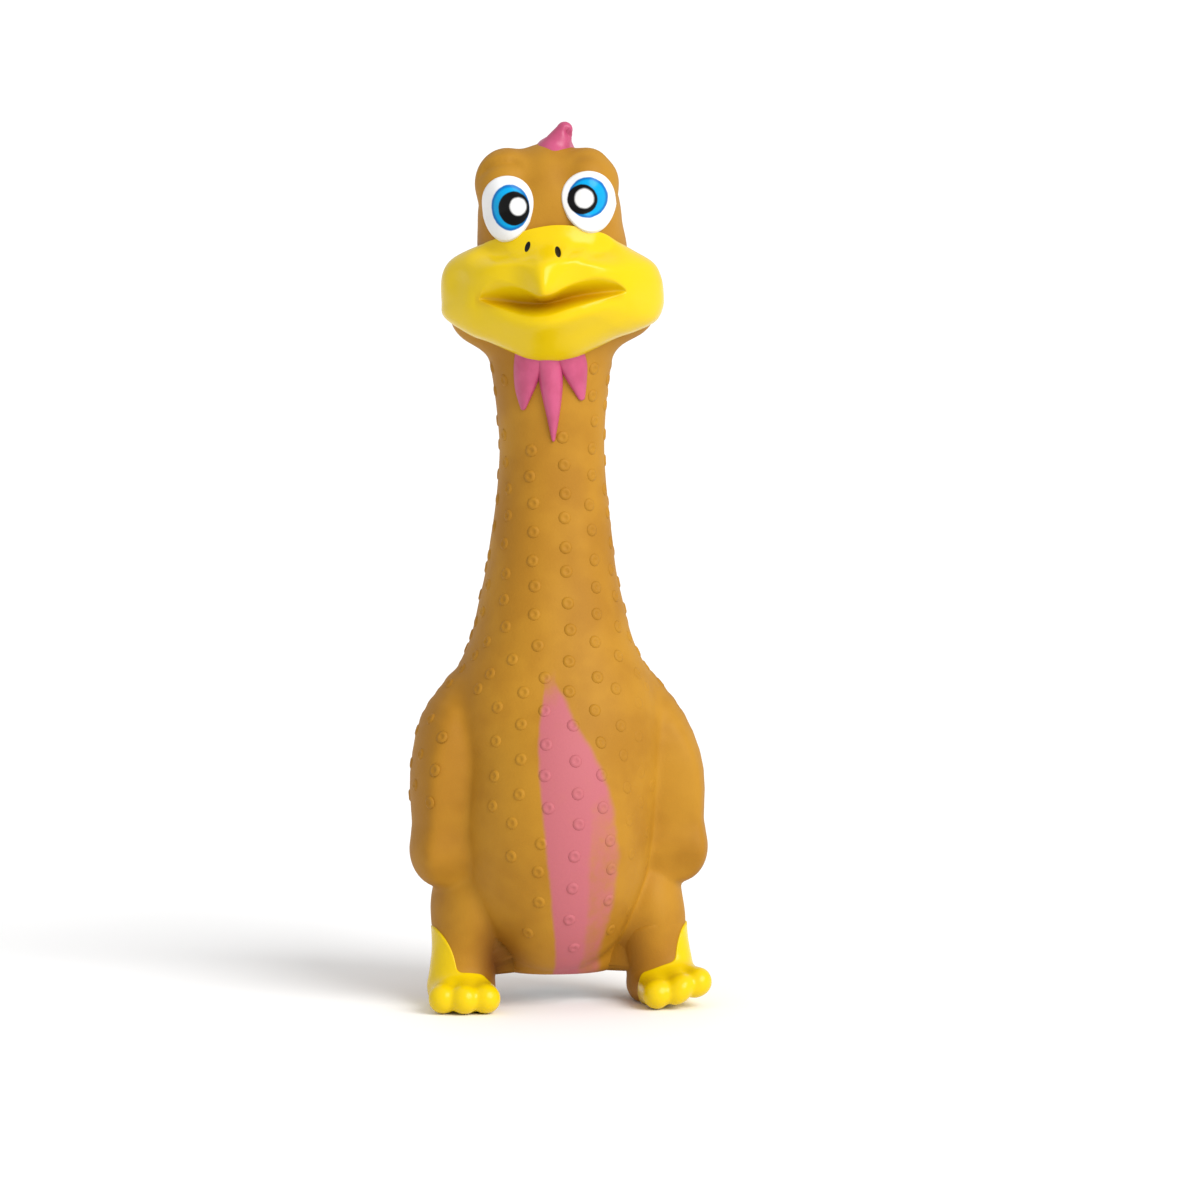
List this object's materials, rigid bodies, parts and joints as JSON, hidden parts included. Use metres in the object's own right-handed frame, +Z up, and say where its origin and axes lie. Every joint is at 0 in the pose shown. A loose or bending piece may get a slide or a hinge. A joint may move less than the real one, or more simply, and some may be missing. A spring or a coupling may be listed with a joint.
{
  "type": "rubber chicken",
  "caption": "Standing latex rubber chicken with a long bending neck, yellow bill and feet, folded wings, a breast that squeezes in and a squeaker in the base.",
  "frame": {"origin": "on the surface it stands on, at the middle of the object's box in X and Y", "axes": "+Z up, the breast faces -Y, +X to the toy's left"},
  "size_m": [0.0584, 0.0546, 0.1734],
  "materials": {
    "latex": "matt moulded natural latex, dyed brown",
    "yellow_paint": "glossy latex paint",
    "pink_paint": "satin latex paint",
    "white_paint": "glossy latex paint",
    "fibre": "loose polyester fibre",
    "clear_plastic": "moulded polyethylene",
    "brass": "turned"
  },
  "bodies": {
    "torso": {"body_shell": "latex", "left_wing": "latex", "right_wing": "latex", "tail": "latex", "left_thigh": "latex", "right_thigh": "latex", "left_foot": "yellow_paint", "right_foot": "yellow_paint", "body_filling": "fibre", "squeaker_collar": "latex", "squeaker_cup": "clear_plastic", "squeaker_cap": "clear_plastic", "reed_block": "brass", "reed_clamp": "brass"},
    "breast": {"belly_panel": "latex"},
    "lower_neck": {"lower_neck_skin": "latex", "lower_neck_filling": "fibre"},
    "upper_neck": {"middle_neck_skin": "latex", "middle_neck_filling": "fibre"},
    "head": {"upper_neck_skin": "latex", "head_shell": "latex", "head_filling": "fibre", "upper_bill": "yellow_paint", "lower_bill": "yellow_paint", "comb": "pink_paint", "wattle": "pink_paint", "left_eye": "white_paint", "right_eye": "white_paint"},
    "reed": {"reed": "clear_plastic"}
  },
  "joints": [
    {"name": "neck_nod", "type": "hinge", "parent": "torso", "child": "lower_neck", "pos_m": [0, 0, 0.08767], "axis": [1, 0, 0], "range_deg": [-35, 35], "stiffness_Nm_per_rad": 0.12, "deforming": ["lower_neck_skin", "lower_neck_filling"]},
    {"name": "neck_sway", "type": "hinge", "parent": "lower_neck", "child": "upper_neck", "pos_m": [0, 0, 0.103], "axis": [0, 1, 0], "range_deg": [-35, 35], "stiffness_Nm_per_rad": 0.12, "deforming": ["middle_neck_skin", "middle_neck_filling"]},
    {"name": "head_turn", "type": "hinge", "parent": "upper_neck", "child": "head", "pos_m": [0, 0, 0.11833], "axis": [0, 0, 1], "range_deg": [-40, 40], "stiffness_Nm_per_rad": 0.05},
    {"name": "breast_squeeze", "type": "slide", "parent": "torso", "child": "breast", "axis": [0, 1, 0], "range_m": [0, 0.008], "stiffness_N_per_m": 600, "deforming": ["body_filling"]},
    {"name": "reed_flex", "type": "hinge", "parent": "torso", "child": "reed", "pos_m": [0, 0.00258, 0.0113], "axis": [1, 0, 0], "range_deg": [0, 6]}
  ],
  "couplings": [
    {"joint": "reed_flex", "follows": "breast_squeeze", "rad_per_m": 12.5}
  ]
}
